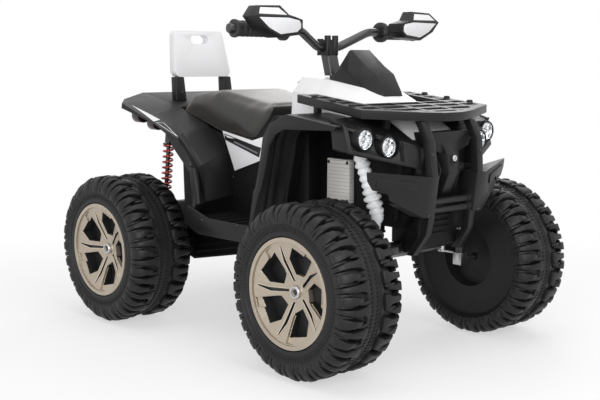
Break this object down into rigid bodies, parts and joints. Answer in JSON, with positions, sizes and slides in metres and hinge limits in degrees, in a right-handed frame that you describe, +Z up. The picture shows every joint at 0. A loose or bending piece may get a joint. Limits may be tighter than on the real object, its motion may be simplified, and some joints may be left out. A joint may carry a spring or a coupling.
{
  "type": "child's ride-on quad bike",
  "caption": "Child's battery ride-on quad bike: moulded body with seat and backrest, front rack, bumper, handlebar steering linked to the front wheels, and chunky lugged tyres.",
  "frame": {"origin": "on the floor, midway between the axles and between the wheels", "axes": "+X forward, +Y to the rider's left, +Z up"},
  "size_m": [0.986, 0.689, 0.715],
  "materials": {
    "tyre": "matte",
    "rim": "metallic satin",
    "steel": "plated",
    "black_steel": "black paint",
    "black_plastic": "moulded, satin",
    "dark_plastic": "moulded",
    "white_plastic": "gloss",
    "silver_plastic": "silver paint",
    "seat_pad": "soft faux leather",
    "grip": "matte",
    "lamp": "clear",
    "tail_lamp": "dark",
    "white_rubber": "matte",
    "spring": "red",
    "battery": "plain"
  },
  "bodies": {
    "chassis": {"tub": "dark_plastic", "front_bay": "dark_plastic", "battery": "battery", "seat": "seat_pad", "front_fender_left": "black_plastic", "front_fender_right": "black_plastic", "rear_fender_left": "black_plastic", "rear_fender_right": "black_plastic", "rear_deck": "black_plastic", "footboards": "black_plastic", "side_inserts": "white_plastic", "front_cowl": "white_plastic", "dash_cowl": "black_plastic", "headlamp_pods": "black_plastic", "headlamps": "lamp", "front_rack": "black_plastic", "bumper": "black_plastic", "grille": "black_plastic", "skid_plate": "black_plastic", "side_panels": "silver_plastic", "front_struts": "white_rubber", "rear_shocks": "spring", "backrest_panel": "white_plastic", "backrest_frame": "black_plastic", "tail_lamps": "tail_lamp", "rear_axle": "steel", "rear_gearboxes": "dark_plastic", "front_beam": "black_steel"},
    "steering": {"steering_column": "black_steel", "handlebar": "black_steel", "bar_clamp": "black_plastic", "grips": "grip", "handguards": "black_plastic", "guard_panels": "white_plastic"},
    "tie_rod": {"tie_rod": "steel"},
    "knuckle_left": {"knuckle_left": "steel"},
    "knuckle_right": {"knuckle_right": "steel"},
    "wheel_front_left": {"tyre_front_left": "tyre", "rim_front_left": "rim"},
    "wheel_front_right": {"tyre_front_right": "tyre", "rim_front_right": "rim"},
    "wheel_rear_left": {"tyre_rear_left": "tyre", "rim_rear_left": "rim"},
    "wheel_rear_right": {"tyre_rear_right": "tyre", "rim_rear_right": "rim"}
  },
  "joints": [
    {"name": "steering", "type": "hinge", "parent": "chassis", "child": "steering", "pos_m": [0.084, 0, 0.633], "axis": [-0.2691, 0, 0.9631], "range_deg": [-22, 22]},
    {"name": "knuckle_left", "type": "hinge", "parent": "chassis", "child": "knuckle_left", "pos_m": [0.323, 0.176, 0.212], "axis": [0, 0, 1], "range_deg": [-22, 22]},
    {"name": "knuckle_right", "type": "hinge", "parent": "chassis", "child": "knuckle_right", "pos_m": [0.323, -0.176, 0.212], "axis": [0, 0, 1], "range_deg": [-22, 22]},
    {"name": "tie_rod", "type": "hinge", "parent": "knuckle_left", "child": "tie_rod", "pos_m": [0.273, 0.176, 0.192], "axis": [0, 0, 1], "range_deg": [-22, 22]},
    {"name": "wheel_front_left", "type": "hinge", "parent": "knuckle_left", "child": "wheel_front_left", "pos_m": [0.323, 0.2685, 0.17], "axis": [0, 1, 0], "continuous": true},
    {"name": "wheel_front_right", "type": "hinge", "parent": "knuckle_right", "child": "wheel_front_right", "pos_m": [0.323, -0.2685, 0.17], "axis": [0, 1, 0], "continuous": true},
    {"name": "wheel_rear_left", "type": "hinge", "parent": "chassis", "child": "wheel_rear_left", "pos_m": [-0.323, 0.2685, 0.17], "axis": [0, 1, 0], "continuous": true},
    {"name": "wheel_rear_right", "type": "hinge", "parent": "chassis", "child": "wheel_rear_right", "pos_m": [-0.323, -0.2685, 0.17], "axis": [0, 1, 0], "continuous": true}
  ],
  "couplings": [
    {"joint": "knuckle_left", "follows": "steering", "ratio": 1},
    {"joint": "knuckle_right", "follows": "steering", "ratio": 1},
    {"joint": "tie_rod", "follows": "steering", "ratio": -1}
  ]
}
